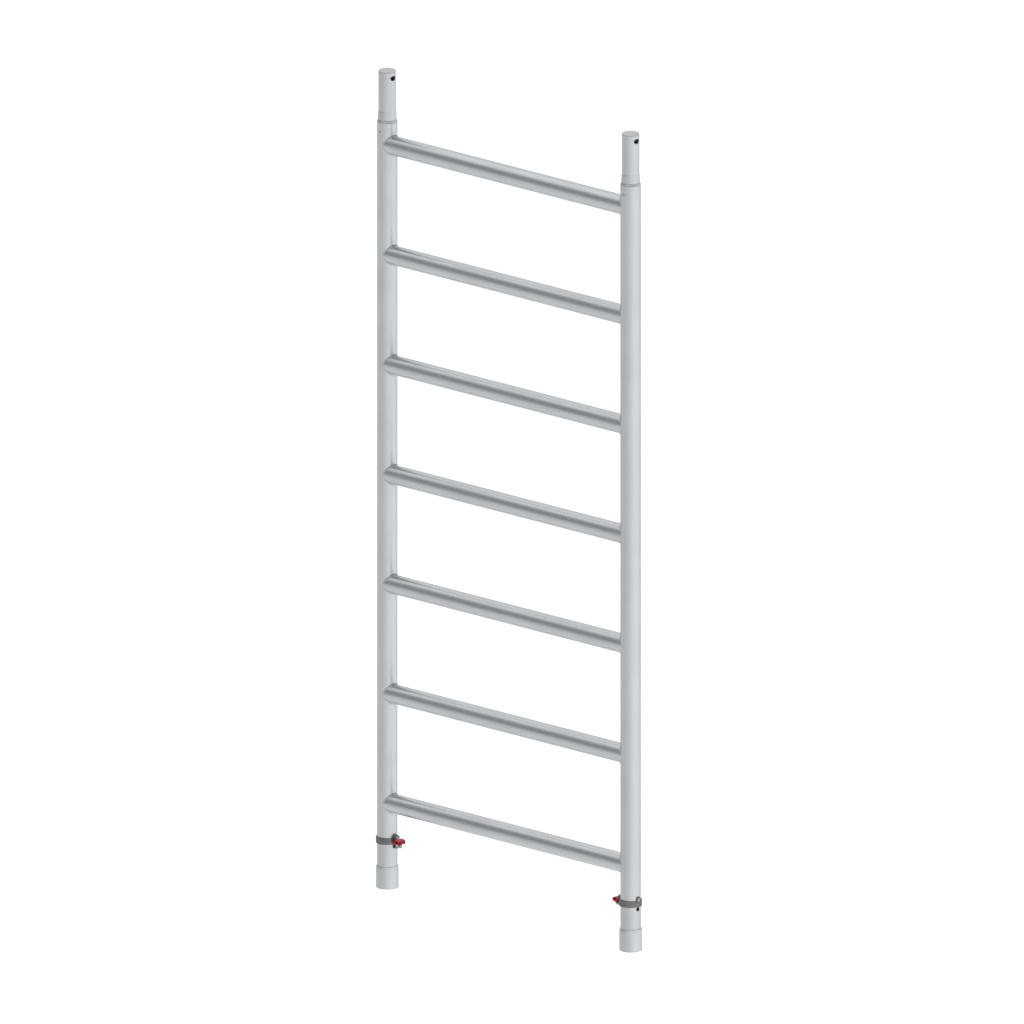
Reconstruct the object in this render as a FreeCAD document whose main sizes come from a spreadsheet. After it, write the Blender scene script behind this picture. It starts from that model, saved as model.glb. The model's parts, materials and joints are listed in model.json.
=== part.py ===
import FreeCAD, Part
import math
import os
import Sketcher
from FreeCAD import Vector

# Driving dimensions, millimetres and degrees
dimensions = {
    # ladder frame
    "frame_width": 900,
    "tube_diameter": 50.8,
    "tube_wall": 2,
    "rung_diameter": 48.3,
    "rung_wall": 2,
    "rung_pitch": 280,
    "first_rung_height": 217,
    "seat_above_rung": 63,
    "weld_gap": 0.1,
    # socket at the foot of each upright, and the lock hole through it
    "socket_ream": 0.3,
    "socket_spare": 1,
    "lock_hole_height": 108,
    "lock_hole_diameter": 10.5,
    # collar round the socket mouth
    "collar_thickness": 2.55,
    "collar_height": 56,
    "collar_taper_height": 7,
    "collar_taper": 0.8,
    "collar_edge": 0.8,
    "collar_clearance": 0.05,
    # spigot, with its gaps to the bore of a like tube set over it
    "spigot_gap": 1.8,
    "spigot_wall": 3,
    "spigot_slot_length": 17,
    "spigot_slot_height": 12,
    "hole_to_spigot_top": 18,
    "flange_height": 5.6,
    "flange_gap": 0.1,
    "base_height": 18,
    "base_gap": 0.9,
    "neck_height": 6,
    "seat_groove_height": 1.3,
    "foot_groove_height": 0.8,
    "foot_groove_depth": 0.9,
    "joint_groove_height": 0.7,
    "joint_groove_depth": 1,
    "insert_depth": 50,
    "insert_clearance": 0.05,
    # cap in the top of the spigot
    "cap_thickness": 4,
    "cap_edge": 1.2,
    "cap_plug_depth": 5,
    "cap_clearance": 0.05,
    # blind rivets of the spigots and the lock bands
    "rivet_diameter": 4.8,
    "rivet_clearance": 0.05,
    "rivet_head_diameter": 7.5,
    "rivet_head_top_diameter": 4.6,
    "rivet_head_height": 1,
    "rivet_tail_diameter": 6.2,
    "rivet_tail_length": 1.4,
    "spigot_rivet_drop": 28,
    # lock band, with a tab each side and the hinge ears on the inner tab
    "band_above_hole": 6,
    "band_height": 16,
    "band_thickness": 2.8,
    "band_clearance": 0.05,
    "tab_width": 12,
    "tab_rise": 10,
    "tab_corner": 2,
    "ear_gap": 8,
    "ear_radius": 4,
    "ear_flat_depth": 0.3,
    "hinge_above_hole": 24,
    "hinge_from_band": 4.95,
    "hinge_pin_diameter": 4,
    "hinge_clearance": 0.05,
    "hinge_head_diameter": 6.4,
    "hinge_head_height": 1.5,
    # swinging latch: plate, grip and peg
    "parked_angle": 30,
    "knuckle_diameter": 7.2,
    "knuckle_side_gap": 0.4,
    "plate_thickness": 2.5,
    "plate_width": 12,
    "plate_shoulder_gap": 1.2,
    "grip_width": 24,
    "grip_back": 3.3,
    "grip_top": 5.8,
    "grip_bottom": 18.2,
    "grip_shoulder": 4,
    "grip_heel": 6.2,
    "grip_tip_foot": 8.6,
    "grip_tip_bottom": 22.5,
    "grip_reach": 13.5,
    "grip_tip_top": 14,
    "grip_rounding": 0.8,
    "grip_wall": 1.6,
    "grip_hollow_top": 12,
    "grip_hollow_depth": 5,
    "grip_clearance": 0.05,
    "peg_lift": 1,
    "peg_diameter": 6,
    "peg_tip_diameter": 3,
    "peg_tip_length": 4,
    "peg_reach": 6.9,
    "peg_neck_diameter": 4.8,
    "peg_head_diameter": 8.4,
    "peg_head_crown_diameter": 6,
    "peg_head_height": 3,
    "peg_clearance": 0.05,
}
rung_count = 7
sides = ("left", "right")
past = 5    # how far a cutting profile runs past what it cuts

doc = FreeCAD.newDocument("scaffold_tower_frame")
sheet = doc.addObject("Spreadsheet::Sheet", "Sizes")
for row, (name, number) in enumerate(dimensions.items(), start=1):
    sheet.set(f"A{row}", name)
    sheet.set(f"B{row}", str(number))
    sheet.setAlias(f"B{row}", name)
doc.recompute()

# Sizes that follow from the driving ones, as expressions on the sheet
tube_r = "(Sizes.tube_diameter / 2)"
tube_bore_r = "(Sizes.tube_diameter / 2 - Sizes.tube_wall)"
upright_x = "((Sizes.frame_width - Sizes.tube_diameter) / 2)"
top_rung_z = f"(Sizes.first_rung_height + {rung_count - 1} * Sizes.rung_pitch)"
seat_z = f"({top_rung_z} + Sizes.seat_above_rung)"
tube_end_z = f"({seat_z} - Sizes.flange_height)"
spigot_r = f"({tube_bore_r} - Sizes.spigot_gap)"
spigot_bore_r = f"({spigot_r} - Sizes.spigot_wall)"
spigot_reach = "(Sizes.lock_hole_height + Sizes.hole_to_spigot_top)"
spigot_rivet_z = f"({seat_z} - Sizes.spigot_rivet_drop)"
rivet_hole_r = "(Sizes.rivet_diameter / 2 + Sizes.rivet_clearance)"
band_bore_r = f"({tube_r} + Sizes.band_clearance)"
band_r = f"({band_bore_r} + Sizes.band_thickness)"
ear_flat_x = f"({band_r} - Sizes.ear_flat_depth)"
band_bottom_z = "(Sizes.lock_hole_height + Sizes.band_above_hole)"
hinge_x = f"({band_r} + Sizes.hinge_from_band)"
hinge_z = "(Sizes.lock_hole_height + Sizes.hinge_above_hole)"
hinge_on_band = "(Sizes.hinge_above_hole - Sizes.band_above_hole)"
peg_drop = "(Sizes.hinge_above_hole - Sizes.peg_lift)"


def value(expression):
    return float(sheet.evalExpression(expression))


def placed(x="0", y="0", z="0", axis="0; 0; 1", angle="0"):
    return f"placement(vector({x}; {y}; {z}); rotation(vector({axis}); {angle}))"


# Each upright's station: local +X points into the frame
stations = {
    "left": placed(x=f"-{upright_x}"),
    "right": placed(x=upright_x, angle="180"),
}
latch = placed(x=hinge_x, z=hinge_z, axis="0; 1; 0", angle="-Sizes.parked_angle")


def new_body(label, placement):
    body = doc.addObject("PartDesign::Body", label)
    body.Label = label
    body.setExpression("Placement", placement)
    return body


def new_sketch(body, role, name):
    sketch = body.newObject("Sketcher::SketchObject", f"{body.Label}_{name}")
    plane = next(item for item in body.Origin.OriginFeatures if item.Role == role)
    sketch.AttachmentSupport = (plane, [""])
    sketch.MapMode = "FlatFace"
    return sketch


def drive(sketch, expression, *constraint):
    index = sketch.addConstraint(Sketcher.Constraint(*constraint, value(expression)))
    sketch.setExpression(f"Constraints[{index}]", expression)


def fix_point(sketch, geometry, point, across, up):
    if across == "0":
        sketch.addConstraint(Sketcher.Constraint("PointOnObject", geometry, point, -2))
    else:
        drive(sketch, across, "DistanceX", -1, 1, geometry, point)
    if up == "0":
        sketch.addConstraint(Sketcher.Constraint("PointOnObject", geometry, point, -1))
    else:
        drive(sketch, up, "DistanceY", -1, 1, geometry, point)


def add_circle(sketch, radius, across="0", up="0"):
    centre = Vector(value(across), value(up), 0)
    circle = sketch.addGeometry(Part.Circle(centre, Vector(0, 0, 1), value(radius)))
    drive(sketch, radius, "Radius", circle)
    fix_point(sketch, circle, 3, across, up)


def add_outline(sketch, points):
    corners = [Vector(value(across), value(up), 0) for across, up in points]
    first = sketch.GeometryCount
    count = len(points)
    for index in range(count):
        sketch.addGeometry(Part.LineSegment(corners[index], corners[(index + 1) % count]))
    for index in range(count):
        follower = first + (index + 1) % count
        sketch.addConstraint(Sketcher.Constraint("Coincident", first + index, 2, follower, 1))
        fix_point(sketch, first + index, 1, *points[index])


def add_rectangle(sketch, low, high):
    add_outline(sketch, [low, (high[0], low[1]), high, (low[0], high[1])])


# A slot with round ends, level, with its middle on the sketch's vertical axis
def add_slot(sketch, length, height, up):
    radius = f"({height}) / 2"
    reach = f"({length} - {height}) / 2"
    r, x, z = value(radius), value(reach), value(up)
    normal = Vector(0, 0, 1)
    right_end = Part.ArcOfCircle(Part.Circle(Vector(x, z, 0), normal, r), -math.pi / 2, math.pi / 2)
    left_end = Part.ArcOfCircle(Part.Circle(Vector(-x, z, 0), normal, r), math.pi / 2, 3 * math.pi / 2)
    right = sketch.addGeometry(right_end)
    top = sketch.addGeometry(Part.LineSegment(Vector(x, z + r, 0), Vector(-x, z + r, 0)))
    left = sketch.addGeometry(left_end)
    bottom = sketch.addGeometry(Part.LineSegment(Vector(-x, z - r, 0), Vector(x, z - r, 0)))
    ring = (right, top, left, bottom)
    for index, piece in enumerate(ring):
        follower = ring[(index + 1) % len(ring)]
        sketch.addConstraint(Sketcher.Constraint("Tangent", piece, 2, follower, 1))
    sketch.addConstraint(Sketcher.Constraint("Equal", right, left))
    drive(sketch, radius, "Radius", right)
    fix_point(sketch, right, 3, reach, up)
    fix_point(sketch, left, 3, f"-({reach})", up)


def pad(body, sketch, length, both_ways=False):
    feature = body.newObject("PartDesign::Pad", f"{sketch.Name}_pad")
    feature.Profile = sketch
    feature.SideType = "Symmetric" if both_ways else "One side"
    feature.setExpression("Length", length)
    doc.recompute()
    return feature


# A pocket without a length goes through all, on both sides of its sketch
def pocket(body, sketch, length=None, upwards=False):
    before = body.Shape.Volume
    feature = body.newObject("PartDesign::Pocket", f"{sketch.Name}_pocket")
    feature.Profile = sketch
    feature.SideType = "One side" if upwards else "Symmetric"
    feature.Reversed = upwards
    if length is None:
        feature.Type = "ThroughAll"
    else:
        feature.setExpression("Length", length)
    doc.recompute()
    if not body.Shape.Volume < before:
        raise RuntimeError(f"{feature.Name} cuts nothing")
    return feature


def revolve(body, sketch):
    feature = body.newObject("PartDesign::Revolution", f"{sketch.Name}_turn")
    feature.Profile = sketch
    feature.ReferenceAxis = (sketch, ["V_Axis"])
    feature.Angle = 360
    doc.recompute()
    return feature


def turned(label, placement, points):
    body = new_body(label, placement)
    sketch = new_sketch(body, "XZ_Plane", "profile")
    add_outline(sketch, points)
    revolve(body, sketch)
    return body


def cylinder(name, radius, height, placement):
    item = doc.addObject("Part::Cylinder", name)
    item.setExpression("Radius", radius)
    item.setExpression("Height", height)
    item.setExpression("Placement", placement)
    return item


def fused(name, items):
    fuse = doc.addObject("Part::MultiFuse", name)
    fuse.Label = name
    fuse.Shapes = items
    doc.recompute()
    return fuse


# Uprights: tube with a sized socket, the lock hole and the rivet holes
def make_upright(side):
    body = new_body(f"{side}_upright", stations[side])
    wall = new_sketch(body, "XY_Plane", "wall")
    add_circle(wall, tube_r)
    add_circle(wall, tube_bore_r)
    pad(body, wall, tube_end_z)
    socket = new_sketch(body, "XY_Plane", "socket")
    add_circle(socket, f"{tube_bore_r} + Sizes.socket_ream")
    pocket(body, socket, f"{spigot_reach} + Sizes.socket_spare", upwards=True)
    lock = new_sketch(body, "YZ_Plane", "lock_holes")
    add_circle(lock, "Sizes.lock_hole_diameter / 2", up="Sizes.lock_hole_height")
    add_circle(lock, rivet_hole_r, up=hinge_z)
    pocket(body, lock)
    rivets = new_sketch(body, "XZ_Plane", "spigot_rivet_holes")
    add_circle(rivets, rivet_hole_r, up=spigot_rivet_z)
    pocket(body, rivets)
    return body


# Rungs: tube with both ends coped to the uprights
def make_rung(number):
    height = f"Sizes.first_rung_height + {number - 1} * Sizes.rung_pitch"
    body = new_body(f"rung_{number}", placed(z=height))
    wall = new_sketch(body, "YZ_Plane", "wall")
    add_circle(wall, "Sizes.rung_diameter / 2")
    add_circle(wall, "Sizes.rung_diameter / 2 - Sizes.rung_wall")
    pad(body, wall, f"2 * {upright_x}", both_ways=True)
    copes = new_sketch(body, "XY_Plane", "copes")
    add_circle(copes, f"{tube_r} + Sizes.weld_gap", across=upright_x)
    add_circle(copes, f"{tube_r} + Sizes.weld_gap", across=f"-{upright_x}")
    pocket(body, copes)
    return body


# Foot collars: sleeve with a slightly tapered upper edge
def make_collar(side):
    bore = f"{tube_r} + Sizes.collar_clearance"
    outer = f"{bore} + Sizes.collar_thickness"
    return turned(f"{side}_foot_collar", stations[side], [
        (bore, "0"),
        (f"{outer} - Sizes.collar_edge", "0"),
        (outer, "Sizes.collar_edge"),
        (outer, "Sizes.collar_height - Sizes.collar_taper_height"),
        (f"{outer} - Sizes.collar_taper", "Sizes.collar_height"),
        (bore, "Sizes.collar_height"),
    ])


# Spigots: insert, bevelled seat with a shadow groove below and above it, tapered base, neck, slotted tube
def make_spigot(side):
    insert_r = f"{tube_bore_r} - Sizes.insert_clearance"
    flange_z = "Sizes.insert_depth"
    local_seat = f"({flange_z} + Sizes.flange_height)"
    foot_r = f"{tube_bore_r} - Sizes.flange_gap"
    base_top = f"{local_seat} + Sizes.base_height"
    top = f"{local_seat} + {spigot_reach} - Sizes.cap_thickness"
    where = f"{stations[side]} * {placed(z=f'{tube_end_z} - Sizes.insert_depth')}"
    body = turned(f"{side}_spigot", where, [
        (spigot_bore_r, "0"),
        (insert_r, "0"),
        (insert_r, flange_z),
        (f"{tube_r} - Sizes.joint_groove_depth", flange_z),
        (f"{tube_r} - Sizes.joint_groove_depth", f"{flange_z} + Sizes.seat_groove_height"),
        (tube_r, f"{flange_z} + Sizes.seat_groove_height"),
        (foot_r, local_seat),
        (f"{foot_r} - Sizes.foot_groove_depth", local_seat),
        (f"{foot_r} - Sizes.foot_groove_depth", f"{local_seat} + Sizes.foot_groove_height"),
        (foot_r, f"{local_seat} + Sizes.foot_groove_height"),
        (f"{tube_bore_r} - Sizes.base_gap", base_top),
        (spigot_r, f"{base_top} + Sizes.neck_height"),
        (spigot_r, top),
        (spigot_bore_r, top),
    ])
    lock = new_sketch(body, "YZ_Plane", "lock_slot")
    add_slot(lock, "Sizes.spigot_slot_length", "Sizes.spigot_slot_height",
             f"{local_seat} + Sizes.lock_hole_height")
    pocket(body, lock)
    rivets = new_sketch(body, "XZ_Plane", "rivet_holes")
    add_circle(rivets, rivet_hole_r, up=f"{local_seat} - Sizes.spigot_rivet_drop")
    pocket(body, rivets)
    return body


# Spigot caps: plug and chamfered disc, with a shadow groove under its rim
def make_cap(side):
    plug_r = f"{spigot_bore_r} - Sizes.cap_clearance"
    top = "(Sizes.cap_plug_depth + Sizes.cap_thickness)"
    lift = f"{seat_z} + {spigot_reach} - {top}"
    return turned(f"{side}_spigot_cap", f"{stations[side]} * {placed(z=lift)}", [
        ("0", "0"),
        (plug_r, "0"),
        (plug_r, "Sizes.cap_plug_depth"),
        (f"{spigot_r} - Sizes.joint_groove_depth", "Sizes.cap_plug_depth"),
        (f"{spigot_r} - Sizes.joint_groove_depth", "Sizes.cap_plug_depth + Sizes.joint_groove_height"),
        (spigot_r, "Sizes.cap_plug_depth + Sizes.joint_groove_height"),
        (spigot_r, f"{top} - Sizes.cap_edge"),
        (f"{spigot_r} - Sizes.cap_edge", top),
        ("0", top),
    ])


# A blind rivet: its head sits on the outside at the given place, its axis along local Z
def make_rivet(name, where, grip):
    head = doc.addObject("Part::Cone", f"{name}_head")
    head.setExpression("Radius1", "Sizes.rivet_head_diameter / 2")
    head.setExpression("Radius2", "Sizes.rivet_head_top_diameter / 2")
    head.setExpression("Height", "Sizes.rivet_head_height")
    head.setExpression("Placement", where)
    shank = cylinder(f"{name}_shank", "Sizes.rivet_diameter / 2", grip,
                     f"{where} * {placed(z=f'-({grip})')}")
    tail_end = f"-({grip} + Sizes.rivet_tail_length)"
    tail = cylinder(f"{name}_tail", "Sizes.rivet_tail_diameter / 2", "Sizes.rivet_tail_length",
                    f"{where} * {placed(z=tail_end)}")
    return fused(name, [head, shank, tail])


# Two rivets set from opposite sides: local Z is turned outwards about the given axis,
# and the tail starts where its rim meets the round bore
def make_rivet_pair(label, side, axis, height, bore, seats):
    tail_start = f"sqrt({bore} ^ 2 - (Sizes.rivet_tail_diameter / 2) ^ 2)"
    rivets = []
    for number, (angle, seat) in enumerate(zip(("90", "-90"), seats), start=1):
        where = f"{stations[side]} * {placed(z=height, axis=axis, angle=angle)} * {placed(z=seat)}"
        rivets.append(make_rivet(f"{label}_{number}", where, f"{seat} - {tail_start}"))
    pair = doc.addObject("Part::Compound", label)
    pair.Label = label
    pair.Links = rivets
    doc.recompute()
    return pair


def make_spigot_rivets(side):
    return make_rivet_pair(f"{side}_spigot_rivets", side, "1; 0; 0", spigot_rivet_z,
                           spigot_bore_r, (tube_r, tube_r))


def make_lock_rivets(side):
    return make_rivet_pair(f"{side}_lock_rivets", side, "0; 1; 0", hinge_z,
                           tube_bore_r, (ear_flat_x, band_r))


# Lock band: ring, two tabs and a pair of hinge ears folded out of the inner tab
def make_lock_band(side):
    body = new_body(f"{side}_lock_band", f"{stations[side]} * {placed(z=band_bottom_z)}")
    tall = "(Sizes.band_height + Sizes.tab_rise)"
    half_tab = "Sizes.tab_width / 2"
    ring = new_sketch(body, "XY_Plane", "ring")
    add_circle(ring, band_bore_r)
    add_circle(ring, band_r)
    pad(body, ring, tall)
    tabs = new_sketch(body, "YZ_Plane", "tabs")
    for sign in ("", "-"):
        add_outline(tabs, [
            (f"{sign}({half_tab})", "Sizes.band_height"),
            (f"{sign}({half_tab})", f"{tall} - Sizes.tab_corner"),
            (f"{sign}({half_tab} - Sizes.tab_corner)", tall),
            (f"{sign}({half_tab} - Sizes.tab_corner)", f"{tall} + {past}"),
            (f"{sign}({band_r} + {past})", f"{tall} + {past}"),
            (f"{sign}({band_r} + {past})", "Sizes.band_height"),
        ])
    pocket(body, tabs)
    arms = new_sketch(body, "XZ_Plane", "ear_arms")
    add_rectangle(arms, (f"{band_r} - Sizes.band_thickness / 2", f"{hinge_on_band} - Sizes.ear_radius"),
                  (hinge_x, f"{hinge_on_band} + Sizes.ear_radius"))
    pad(body, arms, "Sizes.tab_width", both_ways=True)
    ends = new_sketch(body, "XZ_Plane", "ear_ends")
    add_circle(ends, "Sizes.ear_radius", hinge_x, hinge_on_band)
    pad(body, ends, "Sizes.tab_width", both_ways=True)
    gap = new_sketch(body, "XZ_Plane", "ear_gap")
    add_rectangle(gap, (ear_flat_x, f"{hinge_on_band} - Sizes.ear_radius - {past}"),
                  (f"{hinge_x} + Sizes.ear_radius + {past}",
                   f"{hinge_on_band} + Sizes.ear_radius + {past}"))
    pocket(body, gap, "Sizes.ear_gap")
    hinge = new_sketch(body, "XZ_Plane", "hinge_hole")
    add_circle(hinge, "Sizes.hinge_pin_diameter / 2", hinge_x, hinge_on_band)
    pocket(body, hinge)
    rivets = new_sketch(body, "YZ_Plane", "rivet_holes")
    add_circle(rivets, rivet_hole_r, up=hinge_on_band)
    pocket(body, rivets)
    return body


# Hinge pin: shank through both ears, a head at each end
def make_hinge_pin(side):
    name = f"{side}_lock_hinge_pin"
    where = f"{stations[side]} * {placed(hinge_x, '0', hinge_z, '1; 0; 0', '-90')}"
    half = "Sizes.tab_width / 2"
    head_r = "Sizes.hinge_head_diameter / 2"
    head_h = "Sizes.hinge_head_height"
    shank = cylinder(f"{name}_shank", "Sizes.hinge_pin_diameter / 2", "Sizes.tab_width",
                     f"{where} * {placed(z=f'-{half}')}")
    near = cylinder(f"{name}_near_head", head_r, head_h, f"{where} * {placed(z=f'-{half} - {head_h}')}")
    far = cylinder(f"{name}_far_head", head_r, head_h, f"{where} * {placed(z=half)}")
    return fused(name, [shank, near, far])


# Latch plate: knuckle on the hinge pin, shouldered plate with a round end about the peg
def make_lock_plate(side):
    body = new_body(f"{side}_lock_plate", f"{stations[side]} * {latch}")
    knuckle_width = "(Sizes.ear_gap - 2 * Sizes.knuckle_side_gap)"
    neck = f"{knuckle_width} / 2"
    half = "Sizes.plate_width / 2"
    shoulder = "-(Sizes.ear_radius + Sizes.plate_shoulder_gap)"
    sheet_outline = new_sketch(body, "YZ_Plane", "outline")
    add_outline(sheet_outline, [
        (neck, "0"),
        (neck, shoulder),
        (half, shoulder),
        (half, f"-{peg_drop}"),
        (f"-{half}", f"-{peg_drop}"),
        (f"-{half}", shoulder),
        (f"-{neck}", shoulder),
        (f"-{neck}", "0"),
    ])
    pad(body, sheet_outline, "Sizes.plate_thickness", both_ways=True)
    round_end = new_sketch(body, "YZ_Plane", "round_end")
    add_circle(round_end, half, up=f"-{peg_drop}")
    pad(body, round_end, "Sizes.plate_thickness", both_ways=True)
    knuckle = new_sketch(body, "XZ_Plane", "knuckle")
    add_circle(knuckle, "Sizes.knuckle_diameter / 2")
    pad(body, knuckle, knuckle_width, both_ways=True)
    hinge = new_sketch(body, "XZ_Plane", "hinge_hole")
    add_circle(hinge, "Sizes.hinge_pin_diameter / 2 + Sizes.hinge_clearance")
    pocket(body, hinge)
    peg = new_sketch(body, "YZ_Plane", "peg_hole")
    add_circle(peg, "Sizes.peg_neck_diameter / 2 + Sizes.peg_clearance", up=f"-{peg_drop}")
    pocket(body, peg)
    return body


# Grip: thumb lever moulded round the plate, with a tip in front of the peg head and hollow sides
def make_lock_grip(side):
    body = new_body(f"{side}_lock_grip", f"{stations[side]} * {latch}")
    width = "Sizes.grip_width"
    outline = new_sketch(body, "XZ_Plane", "outline")
    add_outline(outline, [
        ("-Sizes.grip_back", "-Sizes.grip_bottom"),
        ("Sizes.grip_heel", "-Sizes.grip_bottom"),
        ("Sizes.grip_tip_foot", "-Sizes.grip_tip_bottom"),
        ("Sizes.grip_reach", "-Sizes.grip_tip_top"),
        ("Sizes.grip_shoulder", "-Sizes.grip_top"),
        ("-Sizes.grip_back", "-Sizes.grip_top"),
    ])
    block = pad(body, outline, width, both_ways=True)
    rounding = body.newObject("PartDesign::Fillet", f"{body.Label}_rounding")
    rounding.Base = (block, [f"Edge{number + 1}" for number in range(len(block.Shape.Edges))])
    rounding.setExpression("Radius", "Sizes.grip_rounding")
    doc.recompute()
    back = "Sizes.plate_thickness / 2 + Sizes.grip_wall"
    bottom = "Sizes.grip_wall - Sizes.grip_bottom"
    hollow_outline = [
        (back, bottom),
        ("Sizes.grip_tip_foot", bottom),
        ("Sizes.grip_tip_foot", "-Sizes.grip_hollow_top"),
        (back, "-(Sizes.grip_top + Sizes.grip_wall)"),
    ]
    hollow = new_sketch(body, "XZ_Plane", "hollow")
    add_outline(hollow, hollow_outline)
    pocket(body, hollow)
    core = new_sketch(body, "XZ_Plane", "core")
    add_outline(core, hollow_outline)
    pad(body, core, f"{width} - 2 * Sizes.grip_hollow_depth", both_ways=True)
    slot = new_sketch(body, "XY_Plane", "slot")
    across = "Sizes.plate_thickness / 2 + Sizes.grip_clearance"
    along = "Sizes.plate_width / 2 + Sizes.grip_clearance"
    add_rectangle(slot, (f"-({across})", f"-({along})"), (across, along))
    pocket(body, slot)
    return body


# Peg: rivet head outside the plate, neck through it, shank with a tapered tip
def make_lock_peg(side):
    head_h = "Sizes.peg_head_height"
    plate_end = f"({head_h} + Sizes.plate_thickness)"
    closed_tip_x = f"({tube_bore_r} - Sizes.peg_reach)"
    tip_z = f"({head_h} + Sizes.plate_thickness / 2 + {hinge_x} - {closed_tip_x})"
    seat = placed(x=f"Sizes.plate_thickness / 2 + {head_h}", z=f"-{peg_drop}", axis="0; 1; 0", angle="-90")
    return turned(f"{side}_lock_peg", f"{stations[side]} * {latch} * {seat}", [
        ("0", "0"),
        ("Sizes.peg_head_crown_diameter / 2", "0"),
        ("Sizes.peg_head_diameter / 2", f"{head_h} / 2"),
        ("Sizes.peg_head_diameter / 2", head_h),
        ("Sizes.peg_neck_diameter / 2", head_h),
        ("Sizes.peg_neck_diameter / 2", plate_end),
        ("Sizes.peg_diameter / 2", plate_end),
        ("Sizes.peg_diameter / 2", f"{tip_z} - Sizes.peg_tip_length"),
        ("Sizes.peg_tip_diameter / 2", tip_z),
        ("0", tip_z),
    ])


makers = (make_upright, make_collar, make_spigot, make_cap, make_spigot_rivets, make_lock_band,
          make_lock_rivets, make_hinge_pin, make_lock_plate, make_lock_grip, make_lock_peg)
nodes = [make(side) for make in makers for side in sides]
nodes += [make_rung(number) for number in range(1, rung_count + 1)]

# Nothing is written unless every object and every shape is sound
doc.recompute()
for item in doc.Objects:
    if "Invalid" in item.State or "Error" in item.State:
        raise RuntimeError(f"{item.Label} failed: {item.State}")
for node in nodes:
    if node.Shape.isNull() or not node.Shape.isValid():
        raise RuntimeError(f"{node.Label} has no valid shape")

os.makedirs("parts", exist_ok=True)
for node in nodes:
    node.Shape.exportStep(f"parts/{node.Label}.step")
    print(node.Label, len(node.Shape.Solids), round(node.Shape.Volume, 1))
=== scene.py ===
import json
import math

import bpy
from mathutils import Matrix, Vector


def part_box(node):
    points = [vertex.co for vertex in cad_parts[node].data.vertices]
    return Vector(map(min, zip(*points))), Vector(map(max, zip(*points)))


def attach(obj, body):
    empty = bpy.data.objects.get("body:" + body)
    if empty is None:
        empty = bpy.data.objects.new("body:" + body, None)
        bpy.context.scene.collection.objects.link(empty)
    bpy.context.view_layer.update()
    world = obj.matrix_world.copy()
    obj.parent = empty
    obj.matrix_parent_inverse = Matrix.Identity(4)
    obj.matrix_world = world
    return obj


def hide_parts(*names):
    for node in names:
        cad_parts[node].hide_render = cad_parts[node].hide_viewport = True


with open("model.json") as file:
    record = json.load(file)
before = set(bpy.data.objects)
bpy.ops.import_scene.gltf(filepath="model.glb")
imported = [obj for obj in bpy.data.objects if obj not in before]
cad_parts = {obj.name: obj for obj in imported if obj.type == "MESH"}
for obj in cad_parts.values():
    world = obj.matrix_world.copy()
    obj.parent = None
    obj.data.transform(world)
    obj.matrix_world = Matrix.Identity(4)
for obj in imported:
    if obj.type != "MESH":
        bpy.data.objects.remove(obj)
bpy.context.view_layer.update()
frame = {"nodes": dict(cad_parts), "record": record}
scene = bpy.context.scene
record = frame["record"]
mm = 0.001
sides = ("left", "right")
print("frame loaded:", len(frame["nodes"]), "nodes")


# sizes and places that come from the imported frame

def boxCentre(node):
    low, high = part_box(node)
    return (Vector(low) + Vector(high)) / 2


def boxSize(node):
    low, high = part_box(node)
    return Vector(high) - Vector(low)


def hingeOf(side):
    return next(joint for joint in record["behaviour"]["joints"] if joint["child"] == side + "_latch")


rungNames = sorted(name for name in frame["nodes"] if name.startswith("rung_"))
uprightX = {side: boxCentre(side + "_upright").x for side in sides}
uprightRadius = boxSize("left_upright").y / 2
rungRadius = boxSize(rungNames[0]).z / 2


# latch axes: origin on the hinge, -Z down the plate, +X away from the upright;
# the right latch is the left one turned half round
def latchMatrix(side):
    joint = hingeOf(side)
    parked = math.radians(-joint["range_deg"][0])
    turn = 0 if side == "left" else math.pi
    return (Matrix.Translation(joint["pos_m"]) @ Matrix.Rotation(turn, 4, "Z")
            @ Matrix.Rotation(-parked, 4, "Y"))


# node helpers

mixSockets = {"first": 6, "second": 7, "result": 2}    # the colour sockets of a Mix node


def addNode(tree, kind, **inputs):
    node = tree.nodes.new(kind)
    for name, given in inputs.items():
        node.inputs[name].default_value = given
    return node


# a socket takes a plain value or a link
def feed(tree, socket, given):
    if isinstance(given, bpy.types.NodeSocket):
        tree.links.new(given, socket)
    else:
        socket.default_value = given


def combine(tree, operation, first, second):
    node = tree.nodes.new("ShaderNodeMath")
    node.operation = operation
    feed(tree, node.inputs[0], first)
    feed(tree, node.inputs[1], second)
    return node.outputs[0]


def combineVectors(tree, operation, first, second=(0, 0, 0)):
    node = tree.nodes.new("ShaderNodeVectorMath")
    node.operation = operation
    feed(tree, node.inputs[0], first)
    feed(tree, node.inputs[1], second)
    return node.outputs["Value" if operation == "DOT_PRODUCT" else "Vector"]


def remap(tree, source, fromLow, fromHigh, toLow, toHigh, smooth=False):
    node = tree.nodes.new("ShaderNodeMapRange")
    node.interpolation_type = "SMOOTHSTEP" if smooth else "LINEAR"
    feed(tree, node.inputs["Value"], source)
    feed(tree, node.inputs["From Min"], fromLow)
    feed(tree, node.inputs["From Max"], fromHigh)
    feed(tree, node.inputs["To Min"], toLow)
    feed(tree, node.inputs["To Max"], toHigh)
    return node.outputs["Result"]


def noiseAt(tree, place, scale, **look):
    node = addNode(tree, "ShaderNodeTexNoise", **look)
    feed(tree, node.inputs["Vector"], place)
    feed(tree, node.inputs["Scale"], scale)
    return node.outputs["Fac"]


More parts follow.
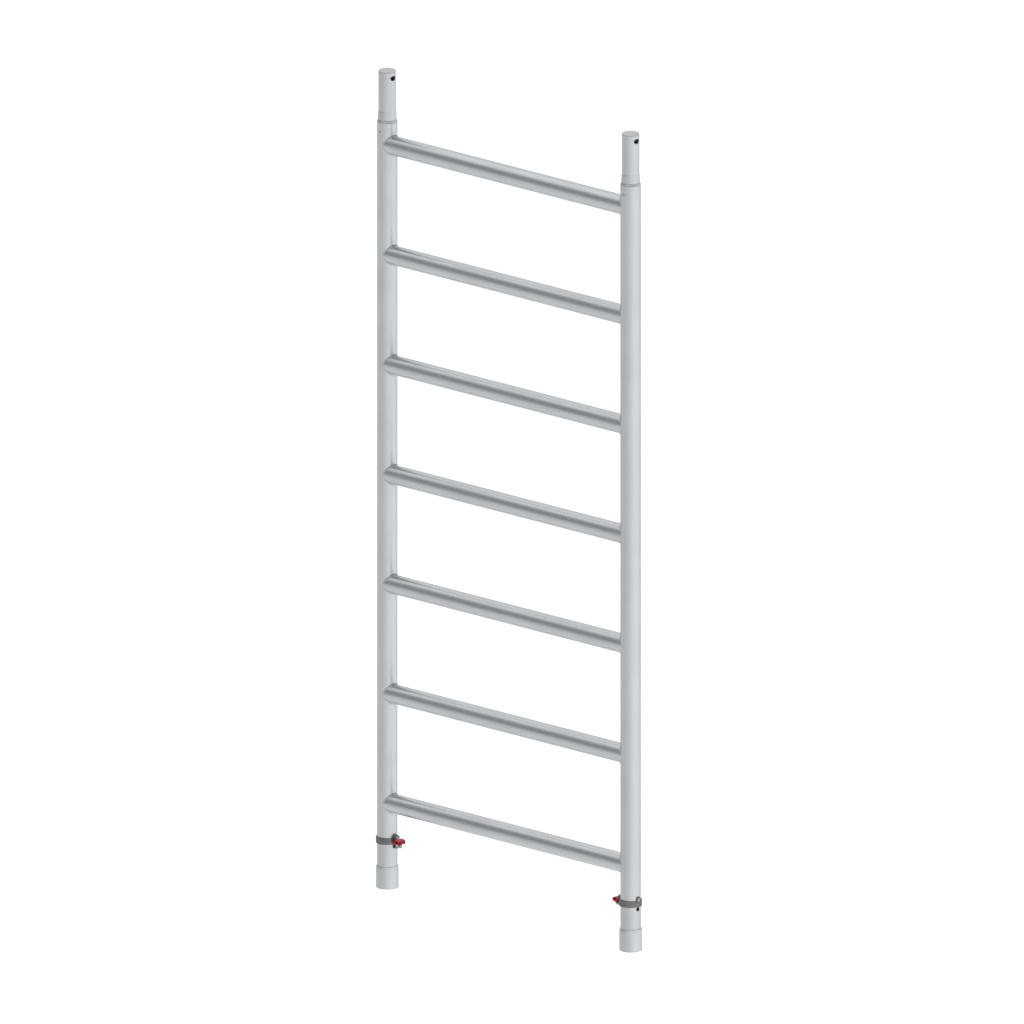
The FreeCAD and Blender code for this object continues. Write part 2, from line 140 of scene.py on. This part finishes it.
def mixColour(tree, mask, first, second):
    node = tree.nodes.new("ShaderNodeMix")
    node.data_type = "RGBA"
    feed(tree, node.inputs["Factor"], mask)
    for name, given in (("first", first), ("second", second)):
        feed(tree, node.inputs[mixSockets[name]], (*given, 1) if isinstance(given, tuple) else given)
    return node.outputs[mixSockets["result"]]


# a colour laid over another to a share of the mask
def tint(tree, base, colour, mask, share):
    return mixColour(tree, combine(tree, "MULTIPLY", mask, share), base, colour)


def newGroup(name, inputs, outputs):
    group = bpy.data.node_groups.new(name, "ShaderNodeTree")
    for label, kind, start in inputs:
        group.interface.new_socket(label, in_out="INPUT", socket_type=kind).default_value = start
    for label in outputs:
        group.interface.new_socket(label, in_out="OUTPUT", socket_type="NodeSocketFloat")
    entry = group.nodes.new("NodeGroupInput")
    leave = group.nodes.new("NodeGroupOutput")
    return group, entry, leave


# shared effects

grainSpec = {
    "fineLines": {"Detail": 2.0, "Roughness": 0.6},
    "wideLines": {"Detail": 1.0, "Roughness": 0.5}, "wideShare": 0.22,
}


# lines drawn along a tube or turned round a spigot
def buildDrawnGrain():
    group, entry, leave = newGroup("drawnGrain", [
        ("Along", "NodeSocketVector", (1, 1, 1)),
        ("Fine", "NodeSocketFloat", 1.0),
    ], ["Height", "Streak"])
    place = group.nodes.new("ShaderNodeTexCoord")
    stretched = combineVectors(group, "MULTIPLY", place.outputs["Object"], entry.outputs["Along"])
    fineScale = entry.outputs["Fine"]
    wideScale = combine(group, "MULTIPLY", fineScale, grainSpec["wideShare"])
    fineLines = noiseAt(group, stretched, fineScale, **grainSpec["fineLines"])
    wideLines = noiseAt(group, stretched, wideScale, **grainSpec["wideLines"])
    group.links.new(fineLines, leave.inputs["Height"])
    group.links.new(wideLines, leave.inputs["Streak"])
    return group


handlingSpec = {"cloud": {"Detail": 5.0, "Roughness": 0.62}, "clean": 0.42, "marked": 0.7}


def buildHandling():
    group, entry, leave = newGroup("handlingMarks", [("Size", "NodeSocketFloat", 6.0)], ["Mask"])
    place = group.nodes.new("ShaderNodeTexCoord")
    cloud = noiseAt(group, place.outputs["Object"], entry.outputs["Size"], **handlingSpec["cloud"])
    mask = remap(group, cloud, handlingSpec["clean"], handlingSpec["marked"], 0, 1, smooth=True)
    group.links.new(mask, leave.inputs["Mask"])
    return group


wearSpec = {
    "flat": 0.995, "edge": 0.86,
    "chips": {"Detail": 4.0, "Roughness": 0.6}, "whole": 0.4, "chipped": 0.62,
}


# worn where the rounded normal turns away from the true one, broken up by chips
def buildEdgeWear():
    group, entry, leave = newGroup("edgeWear", [
        ("Breakup", "NodeSocketFloat", 220.0),
        ("Edge Normal", "NodeSocketVector", (0, 0, 1)),
    ], ["Mask"])
    shape = group.nodes.new("ShaderNodeNewGeometry")
    alike = combineVectors(group, "DOT_PRODUCT", shape.outputs["Normal"], entry.outputs["Edge Normal"])
    edge = remap(group, alike, wearSpec["flat"], wearSpec["edge"], 0, 1)
    place = group.nodes.new("ShaderNodeTexCoord")
    chips = noiseAt(group, place.outputs["Object"], entry.outputs["Breakup"], **wearSpec["chips"])
    broken = remap(group, chips, wearSpec["whole"], wearSpec["chipped"], 0, 1, smooth=True)
    group.links.new(combine(group, "MULTIPLY", edge, broken), leave.inputs["Mask"])
    return group


creviceShadeSpec = {"samples": 8, "shut": 0.35, "open": 0.85}


# painted shade in joints and corners, darker where the surface is closed in
def buildCreviceShade():
    group, entry, leave = newGroup("creviceShade", [("Reach", "NodeSocketFloat", 0.003)], ["Mask"])
    close = group.nodes.new("ShaderNodeAmbientOcclusion")
    close.samples = creviceShadeSpec["samples"]
    group.links.new(entry.outputs["Reach"], close.inputs["Distance"])
    mask = remap(group, close.outputs["AO"], creviceShadeSpec["shut"], creviceShadeSpec["open"], 1, 0, smooth=True)
    group.links.new(mask, leave.inputs["Mask"])
    return group


# faces that look up at rest, where a painted highlight or a painted shade is laid on
def buildUpFacing():
    group, entry, leave = newGroup("upFacing", [
        ("From", "NodeSocketFloat", 0.4),
        ("Full", "NodeSocketFloat", 0.8),
    ], ["Mask"])
    place = group.nodes.new("ShaderNodeTexCoord")
    split = group.nodes.new("ShaderNodeSeparateXYZ")
    group.links.new(place.outputs["Normal"], split.inputs[0])
    mask = remap(group, split.outputs["Z"], entry.outputs["From"], entry.outputs["Full"], 0, 1, smooth=True)
    group.links.new(mask, leave.inputs["Mask"])
    return group


drawnGrain = buildDrawnGrain()
handlingMarks = buildHandling()
edgeWear = buildEdgeWear()
creviceShade = buildCreviceShade()
upFacing = buildUpFacing()
print("shared effects built")


# materials

grainSpan = (0.3, 0.7)    # the part of the grain's noise that sets roughness


def newMaterial(name):
    material = bpy.data.materials.new(name)
    material.use_nodes = True
    tree = material.node_tree
    return material, tree, tree.nodes["Principled BSDF"]


def placeGroup(tree, group, **inputs):
    node = tree.nodes.new("ShaderNodeGroup")
    node.node_tree = group
    for name, given in inputs.items():
        node.inputs[name].default_value = given
    return node


# a look holds the colours, roughness, grain, marks, wear and painted crevice shade of one metal
def buildMetal(name, look):
    material, tree, shader = newMaterial(name)
    shader.inputs["Metallic"].default_value = 1.0
    grain = placeGroup(tree, drawnGrain, Along=look["along"], Fine=look["fine"])
    marks = placeGroup(tree, handlingMarks, Size=look["markSize"])
    rim = addNode(tree, "ShaderNodeBevel", Radius=look["edge"])
    wear = placeGroup(tree, edgeWear)
    tree.links.new(rim.outputs["Normal"], wear.inputs["Edge Normal"])
    dirt = placeGroup(tree, creviceShade, Reach=look["shadeReach"])
    streaked = mixColour(tree, grain.outputs["Streak"], look["colour"], look["streakColour"])
    marked = tint(tree, streaked, look["markColour"], marks.outputs["Mask"], look["markDepth"])
    worn = mixColour(tree, wear.outputs["Mask"], marked, look["wornColour"])
    # painted shade: the colour darkens in joints and corners by how closed in they are
    shadedColour = tint(tree, worn, look["shadeColour"], dirt.outputs["Mask"], look["dirtDepth"])
    # painted shade on the upward faces, where the look asks for it
    if "soot" in look:
        top = placeGroup(tree, upFacing, From=look["sootFrom"], Full=look["sootFull"])
        shadedColour = tint(tree, shadedColour, look["sootColour"], top.outputs["Mask"], look["soot"])
    tree.links.new(shadedColour, shader.inputs["Base Color"])
    drawn = remap(tree, grain.outputs["Height"], *grainSpan, *look["roughness"])
    dulled = combine(tree, "MULTIPLY", marks.outputs["Mask"], look["markRoughness"])
    tree.links.new(combine(tree, "ADD", drawn, dulled), shader.inputs["Roughness"])
    relief = addNode(tree, "ShaderNodeBump", Strength=look["relief"], Distance=look["reliefDepth"])
    tree.links.new(grain.outputs["Height"], relief.inputs["Height"])
    tree.links.new(rim.outputs["Normal"], relief.inputs["Normal"])
    tree.links.new(relief.outputs["Normal"], shader.inputs["Normal"])
    return material


def aluminium(**changes):
    look = {
        "colour": (0.70, 0.715, 0.73), "streakColour": (0.66, 0.675, 0.69),
        "markColour": (0.60, 0.61, 0.62), "wornColour": (0.80, 0.81, 0.82),
        "roughness": (0.25, 0.31), "along": (60, 60, 1.2), "fine": 22.0,
        "markSize": 7.0, "markDepth": 0.35, "markRoughness": 0.05, "edge": 0.0006,
        "relief": 0.05, "reliefDepth": 0.0002,
        # reach, depth and colour of the painted shade in joints and corners
        "shadeReach": 0.003, "dirtDepth": 0.6, "shadeColour": (0.2, 0.2, 0.205),
    }
    look.update(changes)
    return look


def weldFinish(**changes):
    return aluminium(along=(40, 40, 40), colour=(0.67, 0.685, 0.70), streakColour=(0.62, 0.635, 0.65),
                     roughness=(0.30, 0.40), edge=0.0004, relief=0.12, dirtDepth=0.15, **changes)


metalLooks = {
    "uprightAluminium": aluminium(roughness=(0.29, 0.35), dirtDepth=0.2),
    "rungAluminium": aluminium(along=(1.2, 60, 60), dirtDepth=0.2),
    "spigotAluminium": aluminium(along=(2, 2, 90), fine=16.0, roughness=(0.36, 0.44)),
    "collarAluminium": aluminium(along=(2, 2, 70), fine=16.0, roughness=(0.28, 0.35)),
    "capAluminium": aluminium(along=(30, 30, 30), roughness=(0.40, 0.48), edge=0.0008),
    "rivetAluminium": aluminium(
        along=(40, 40, 40), colour=(0.52, 0.53, 0.54), streakColour=(0.48, 0.49, 0.5),
        roughness=(0.34, 0.44), edge=0.0004),
    # left welds: painted shade on their upward faces; the right welds stay plain
    "shadedWeldAluminium": weldFinish(soot=0.8, sootFrom=0.2, sootFull=0.55, sootColour=(0.15, 0.153, 0.157)),
    "paleWeldAluminium": weldFinish(),
    "pegZinc": aluminium(
        along=(30, 30, 30), colour=(0.50, 0.505, 0.51), streakColour=(0.44, 0.445, 0.45),
        roughness=(0.32, 0.42), edge=0.0004),
    "lockSteel": {
        "colour": (0.25, 0.255, 0.26), "streakColour": (0.2, 0.205, 0.21),
        "markColour": (0.15, 0.15, 0.152), "wornColour": (0.42, 0.43, 0.44),
        "roughness": (0.36, 0.46), "along": (30, 30, 30), "fine": 20.0,
        "markSize": 60.0, "markDepth": 0.5, "markRoughness": 0.08, "edge": 0.0005,
        "relief": 0.08, "reliefDepth": 0.0001,
        # reach, depth and colour of the painted shade in joints and corners
        "shadeReach": 0.003, "dirtDepth": 0.6, "shadeColour": (0.05, 0.05, 0.05),
    },
}
metals = {name: buildMetal(name, look) for name, look in metalLooks.items()}


gripLook = {
    "colour": (0.335, 0.004, 0.008), "fadedColour": (0.38, 0.012, 0.017), "wornColour": (0.48, 0.07, 0.07),
    # share, span and colour of the painted highlight on the lever's upward faces
    "topHighlight": 0.85, "topHighlightFrom": 0.6, "topHighlightFull": 0.92, "topHighlightColour": (0.64, 0.15, 0.2),
    "roughness": (0.42, 0.52), "sheen": 0.25, "grainSize": 1600.0, "grainDetail": 2.0,
    "relief": 0.12, "reliefDepth": 0.0001, "edge": 0.0006, "markSize": 55.0, "chipSize": 400.0,
    # reach, depth and colour of the painted shade in the lever's hollows
    "shadeReach": 0.006, "dirtDepth": 0.85, "shadeColour": (0.05, 0.008, 0.009),
}


# moulded lever: painted highlight on its top faces, painted shade in its hollows
def buildGripRed(look):
    material, tree, shader = newMaterial("gripRed")
    shader.inputs["Metallic"].default_value = 0.0
    shader.inputs["Specular IOR Level"].default_value = look["sheen"]
    place = tree.nodes.new("ShaderNodeTexCoord")
    grain = noiseAt(tree, place.outputs["Object"], look["grainSize"], Detail=look["grainDetail"])
    marks = placeGroup(tree, handlingMarks, Size=look["markSize"])
    rim = addNode(tree, "ShaderNodeBevel", Radius=look["edge"])
    wear = placeGroup(tree, edgeWear, Breakup=look["chipSize"])
    tree.links.new(rim.outputs["Normal"], wear.inputs["Edge Normal"])
    top = placeGroup(tree, upFacing, From=look["topHighlightFrom"], Full=look["topHighlightFull"])
    dirt = placeGroup(tree, creviceShade, Reach=look["shadeReach"])
    faded = mixColour(tree, marks.outputs["Mask"], look["colour"], look["fadedColour"])
    # painted highlight on the lever's upward faces
    highlighted = tint(tree, faded, look["topHighlightColour"], top.outputs["Mask"], look["topHighlight"])
    worn = mixColour(tree, wear.outputs["Mask"], highlighted, look["wornColour"])
    # painted shade in the lever's hollows and joints
    shadedColour = tint(tree, worn, look["shadeColour"], dirt.outputs["Mask"], look["dirtDepth"])
    tree.links.new(shadedColour, shader.inputs["Base Color"])
    tree.links.new(remap(tree, grain, *grainSpan, *look["roughness"]), shader.inputs["Roughness"])
    relief = addNode(tree, "ShaderNodeBump", Strength=look["relief"], Distance=look["reliefDepth"])
    tree.links.new(grain, relief.inputs["Height"])
    tree.links.new(relief.outputs["Normal"], shader.inputs["Normal"])
    return material


gripRed = buildGripRed(gripLook)

nodeFinish = {
    "upright": metals["uprightAluminium"],
    "rung": metals["rungAluminium"],
    "spigot": metals["spigotAluminium"],
    "spigot_cap": metals["capAluminium"],
    "spigot_rivets": metals["rivetAluminium"],
    "foot_collar": metals["collarAluminium"],
    "lock_band": metals["lockSteel"],
    "lock_hinge_pin": metals["lockSteel"],
    "lock_rivets": metals["rivetAluminium"],
    "lock_plate": metals["pegZinc"],
    "lock_peg": metals["pegZinc"],
    "lock_grip": gripRed,
}


def finishNodes():
    for name, piece in frame["nodes"].items():
        kind = "rung" if name.startswith("rung_") else name.split("_", 1)[1]
        for holder in piece.material_slots:
            holder.material = nodeFinish[kind]


finishNodes()
print("materials on the frame:", len(metals) + 1)


# mesh pieces

def meshPiece(name, points, faces, material, body):
    mesh = bpy.data.meshes.new(name)
    mesh.from_pydata([tuple(p) for p in points], [], faces)
    mesh.validate()
    mesh.polygons.foreach_set("use_smooth", [True] * len(mesh.polygons))
    mesh.materials.append(material)
    piece = bpy.data.objects.new(name, mesh)
    scene.collection.objects.link(piece)
    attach(piece, body)
    return piece


# closed rings of points become a skin; ends close with a fan about their middle
def ringSkin(rings, closedLoop=False):
    count = len(rings[0])
    points = [p for ring in rings for p in ring]
    faces = []
    last = len(rings) if closedLoop else len(rings) - 1
    for row in range(last):
        after = (row + 1) % len(rings)
        for i in range(count):
            j = (i + 1) % count
            faces.append((row * count + i, row * count + j, after * count + j, after * count + i))
    if not closedLoop:
        for row, flip in ((0, True), (len(rings) - 1, False)):
            middle = sum((Vector(p) for p in rings[row]), Vector()) / count
            points.append(middle)
            for i in range(count):
                j = (i + 1) % count
                fan = (row * count + i, row * count + j, len(points) - 1)
                faces.append(fan[::-1] if flip else fan)
    return points, faces


# turned pieces: profile points are radius and height along local Z
def turnedPoints(profile, place, segments):
    rings = []
    for radius, height in profile:
        ring = []
        for k in range(segments):
            angle = 2 * math.pi * k / segments
            ring.append(place @ Vector((radius * math.cos(angle), radius * math.sin(angle), height)))
        rings.append(ring)
    return ringSkin(rings)


def joinSkins(skins):
    points, faces = [], []
    for somePoints, someFaces in skins:
        faces += [tuple(i + len(points) for i in face) for face in someFaces]
        points += somePoints
    return points, faces


weldSpec = {
    "radius": 2.2 * mm, "rise": 0.4 * mm, "flank": 0.2, "sink": 1.0, "ripple": 0.12, "ripples": 46,
    "around": 184, "section": 16,
}


# a rippled bead in the corner between a rung's coped end and the upright,
# thin and sunk at the flanks, where the two nearly line up
def buildWeld(side, rung):
    centre = boxCentre(rung)
    inwards = 1 if side == "left" else -1
    rings = []
    for step in range(weldSpec["around"]):
        turn = 2 * math.pi * step / weldSpec["around"]
        across = rungRadius * math.cos(turn)
        reach = math.sqrt(uprightRadius ** 2 - across ** 2)
        rungNormal = Vector((0, math.cos(turn), math.sin(turn)))
        tubeNormal = Vector((inwards * reach, across, 0)).normalized()
        middle = Vector((uprightX[side] + inwards * reach, across, centre.z + rungRadius * math.sin(turn)))
        corner = (rungNormal + tubeNormal).normalized()
        along = rungNormal.cross(tubeNormal)
        sharpness = along.length
        wave = 1 + weldSpec["ripple"] * math.sin(weldSpec["ripples"] * turn)
        bead = weldSpec["radius"] * wave * (weldSpec["flank"] + (1 - weldSpec["flank"]) * sharpness)
        middle += corner * (weldSpec["rise"] * sharpness - weldSpec["sink"] * bead * (1 - sharpness))
        acrossBead = corner.cross(along).normalized()
        ring = []
        for k in range(weldSpec["section"]):
            angle = 2 * math.pi * k / weldSpec["section"]
            ring.append(middle + bead * (corner * math.cos(angle) + acrossBead * math.sin(angle)))
        rings.append(ring)
    points, faces = ringSkin(rings, closedLoop=True)
    finish = metals["shadedWeldAluminium" if side == "left" else "paleWeldAluminium"]    # painted shade on the left welds only
    meshPiece(f"{side}_weld_{rung}", points, faces, finish, "frame")


for side in sides:
    for rung in rungNames:
        buildWeld(side, rung)
print("welds:", len(sides) * len(rungNames))


# finger ribs on the sloping top of each latch lever, in latch axes
ribSpec = {
    "count": 5, "radius": 0.6 * mm, "half": 9.5 * mm, "endSteps": 4, "segments": 16,
    "first": (5.5 * mm, -7.5 * mm), "last": (11.9 * mm, -13.0 * mm),
}


def ribProfile():
    radius, half, steps = ribSpec["radius"], ribSpec["half"], ribSpec["endSteps"]
    turns = [math.pi / 2 * step / steps for step in range(1, steps + 1)]
    near = [(radius * math.sin(turn), radius * (1 - math.cos(turn)) - half) for turn in turns]
    return near + [(r, -height) for r, height in reversed(near)]


def buildRibs(side):
    first, last = Vector(ribSpec["first"]), Vector(ribSpec["last"])
    skins = []
    for number in range(ribSpec["count"]):
        x, z = first.lerp(last, number / (ribSpec["count"] - 1))
        place = latchMatrix(side) @ Matrix.Translation((x, 0, z)) @ Matrix.Rotation(math.pi / 2, 4, "X")
        skins.append(turnedPoints(ribProfile(), place, ribSpec["segments"]))
    points, faces = joinSkins(skins)
    meshPiece(f"{side}_grip_ribs", points, faces, gripRed, f"{side}_latch")


for side in sides:
    buildRibs(side)
print("lever ribs moulded")


rivetSpec = {
    "shank": 2.35 * mm, "head": 3.75 * mm, "rise": 1.0 * mm, "lip": 0.15 * mm, "domeSteps": 6,
    "eye": 1.3 * mm, "eyeDepth": 0.5 * mm, "eyeFloor": 0.9, "mandrel": 0.3, "mandrelDepth": 0.8,
    "spigotShank": 6 * mm, "bandShank": 4 * mm, "segments": 40,
}


# blind rivet head: low dome with the sunk end of its mandrel, on a short shank
def rivetProfile(shankLength):
    spec = rivetSpec
    shank = [(spec["shank"], -shankLength), (spec["shank"], 0), (spec["head"], 0)]
    dome = []
    for step in range(spec["domeSteps"] + 1):
        angle = math.pi / 2 * step / spec["domeSteps"]
        radius = spec["eye"] + (spec["head"] - spec["eye"]) * math.cos(angle)
        dome.append((radius, spec["lip"] + (spec["rise"] - spec["lip"]) * math.sin(angle)))
    eye = [(spec["eye"] * spec["eyeFloor"], spec["rise"] - spec["eyeDepth"]),
           (spec["eye"] * spec["mandrel"], spec["rise"] - spec["eyeDepth"] * spec["mandrelDepth"])]
    return shank + dome + eye


# a node's two heads sit at the ends of its box along one axis, 0 for X and 1 for Y
def rivetSeats(node, axis):
    low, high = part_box(node)
    seats = []
    for end, way in ((high, 1), (low, -1)):
        seat, outwards = boxCentre(node), Vector()
        seat[axis] = end[axis] - way * rivetSpec["rise"]
        outwards[axis] = way
        seats.append((seat, outwards))
    return seats


# one mesh for each node's two rivets
def buildRivets(node, axis, shankLength):
    skins = []
    for seat, outwards in rivetSeats(node, axis):
        place = Matrix.Translation(seat) @ outwards.to_track_quat("Z", "Y").to_matrix().to_4x4()
        skins.append(turnedPoints(rivetProfile(shankLength), place, rivetSpec["segments"]))
    points, faces = joinSkins(skins)
    piece = meshPiece(node + "_heads", points, faces, metals["rivetAluminium"], "frame")
    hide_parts(node)


for side in sides:
    buildRivets(side + "_spigot_rivets", 1, rivetSpec["spigotShank"])
    buildRivets(side + "_lock_rivets", 0, rivetSpec["bandShank"])
print("rivet heads turned")


# stage, light and camera

cameraSpec = {
    "azimuth": 45, "elevation": 15, "frameWidth": 2.5258, "aimRight": 0.00757, "aimUp": 1.00195,
    "away": 8, "clipEnd": 100,
}


def buildCamera():
    around = math.radians(cameraSpec["azimuth"])
    above = math.radians(cameraSpec["elevation"])
    right = Vector((math.cos(around), math.sin(around), 0))
    back = Vector((math.sin(around) * math.cos(above), -math.cos(around) * math.cos(above), math.sin(above)))
    up = back.cross(right)
    aim = right * cameraSpec["aimRight"] + up * cameraSpec["aimUp"]
    data = bpy.data.cameras.new("camera")
    data.type = "ORTHO"
    data.ortho_scale = cameraSpec["frameWidth"]
    data.clip_end = cameraSpec["clipEnd"]
    camera = bpy.data.objects.new("camera", data)
    turn = Matrix((right, up, back)).transposed().to_4x4()
    camera.matrix_world = Matrix.Translation(aim + back * cameraSpec["away"]) @ turn
    scene.collection.objects.link(camera)
    scene.camera = camera


floorSpec = {"half": 40, "albedo": 0.85, "roughness": 0.9, "glow": 0.46}


def buildFloor():
    half = floorSpec["half"]
    corners = [(-half, -half, 0), (half, -half, 0), (half, half, 0), (-half, half, 0)]
    mesh = bpy.data.meshes.new("floor")
    mesh.from_pydata(corners, [], [(0, 1, 2, 3)])
    material, tree, shader = newMaterial("paleFloor")
    shader.inputs["Base Color"].default_value = (floorSpec["albedo"],) * 3 + (1,)
    shader.inputs["Roughness"].default_value = floorSpec["roughness"]
    path = tree.nodes.new("ShaderNodeLightPath")
    seen = combine(tree, "MAXIMUM", path.outputs["Is Glossy Ray"], path.outputs["Is Transmission Ray"])
    seen = combine(tree, "MAXIMUM", path.outputs["Is Camera Ray"], seen)
    shader.inputs["Emission Color"].default_value = (1, 1, 1, 1)
    tree.links.new(combine(tree, "MULTIPLY", seen, floorSpec["glow"]), shader.inputs["Emission Strength"])
    mesh.materials.append(material)
    floor = bpy.data.objects.new("floor", mesh)
    scene.collection.objects.link(floor)
    floor.visible_glossy = False    # the world below stands for it in reflections


# studio round the part: even light, a brighter side and two darker cards;
# spans are heights of the ray's direction, turns are degrees round from +X
studio = {
    "low": 0.735, "sky": 0.72, "zenith": 1.0, "nadir": 0.82,
    "skySpan": (-0.15, 0.35), "zenithSpan": (0.48, 0.8), "nadirSpan": (-0.33, -0.8),
    "sideTurn": 17, "sideFrom": -0.1, "sidePower": 1.3, "sideRise": 0.31,
    "sideMiddle": -0.26, "sideHalf": 0.5, "sideEdge": 0.4,
    "colour": (0.985, 0.995, 1.0), "cardColour": (0.945, 0.985, 1.02),
}
darkCards = [
    {"turn": 225, "wide": (0.55, 0.9), "foot": (-0.33, 0.2), "top": (0.71, 0.43), "level": 0.31},
    {"turn": 15, "wide": (-0.12, 0.2), "foot": (0.6, 0.68), "top": (0.95, 0.8), "level": 0.1},
]


def towards(tree, heading, degrees):
    turn = math.radians(degrees)
    return combineVectors(tree, "DOT_PRODUCT", heading, (math.cos(turn), math.sin(turn), 0))


def nearHeight(tree, height, middle, half, edge):
    off = combine(tree, "ABSOLUTE", combine(tree, "SUBTRACT", height, middle), 0)
    return remap(tree, off, half + edge / 2, half - edge / 2, 0, 1, smooth=True)


def cardMask(tree, heading, height, card):
    wide = remap(tree, towards(tree, heading, card["turn"]), *card["wide"], 0, 1, smooth=True)
    foot = remap(tree, height, *card["foot"], 0, 1, smooth=True)
    top = remap(tree, height, *card["top"], 0, 1, smooth=True)
    return combine(tree, "MULTIPLY", wide, combine(tree, "MULTIPLY", foot, top))


def buildWorld():
    world = bpy.data.worlds.new("studio")
    scene.world = world
    world.use_nodes = True
    tree = world.node_tree
    tree.nodes.clear()
    place = tree.nodes.new("ShaderNodeTexCoord")
    ray = place.outputs["Generated"]
    split = tree.nodes.new("ShaderNodeSeparateXYZ")
    tree.links.new(ray, split.inputs[0])
    height = split.outputs["Z"]
    heading = combineVectors(tree, "NORMALIZE", combineVectors(tree, "MULTIPLY", ray, (1, 1, 0)))
    upper = remap(tree, height, *studio["skySpan"], 0, studio["sky"] - studio["low"], smooth=True)
    lower = remap(tree, height, *studio["nadirSpan"], 0, studio["nadir"] - studio["low"], smooth=True)
    top = remap(tree, height, *studio["zenithSpan"], 0, studio["zenith"] - studio["sky"], smooth=True)
    even = combine(tree, "ADD", combine(tree, "ADD", studio["low"], lower), combine(tree, "ADD", upper, top))
    side = remap(tree, towards(tree, heading, studio["sideTurn"]), studio["sideFrom"], 1, 0, 1)
    side = combine(tree, "MULTIPLY", combine(tree, "POWER", side, studio["sidePower"]),
                   nearHeight(tree, height, studio["sideMiddle"], studio["sideHalf"], studio["sideEdge"]))
    shaded = combine(tree, "ADD", even, combine(tree, "MULTIPLY", side, studio["sideRise"]))
    covered = 0
    for card in darkCards:
        mask = cardMask(tree, heading, height, card)
        change = combine(tree, "SUBTRACT", card["level"], shaded)
        shaded = combine(tree, "ADD", shaded, combine(tree, "MULTIPLY", mask, change))
        covered = combine(tree, "MAXIMUM", covered, mask)
    room = tree.nodes.new("ShaderNodeBackground")
    tree.links.new(shaded, room.inputs["Strength"])
    tree.links.new(mixColour(tree, covered, studio["colour"], studio["cardColour"]), room.inputs["Color"])
    plain = addNode(tree, "ShaderNodeBackground", Color=(1, 1, 1, 1), Strength=1.0)
    path = tree.nodes.new("ShaderNodeLightPath")
    choose = tree.nodes.new("ShaderNodeMixShader")
    tree.links.new(path.outputs["Is Camera Ray"], choose.inputs["Fac"])
    tree.links.new(room.outputs[0], choose.inputs[1])
    tree.links.new(plain.outputs[0], choose.inputs[2])
    leave = tree.nodes.new("ShaderNodeOutputWorld")
    tree.links.new(choose.outputs[0], leave.inputs["Surface"])


softbox = {"at": (1.2, -1.6, 4.2), "aim": (0, 0, 1.0), "size": 2.4, "power": 60}


def buildSoftbox():
    data = bpy.data.lights.new("overheadSoftbox", "AREA")
    data.shape = "DISK"
    data.size = softbox["size"]
    data.energy = softbox["power"]
    lamp = bpy.data.objects.new("overheadSoftbox", data)
    place = Vector(softbox["at"])
    turn = (place - Vector(softbox["aim"])).to_track_quat("Z", "Y").to_matrix().to_4x4()
    lamp.matrix_world = Matrix.Translation(place) @ turn
    lamp.visible_glossy = False
    scene.collection.objects.link(lamp)


buildCamera()
buildFloor()
buildWorld()
buildSoftbox()
scene.view_settings.view_transform = "Standard"
print("stage, light and camera set")

bpy.context.view_layer.update()
print("pieces ready")
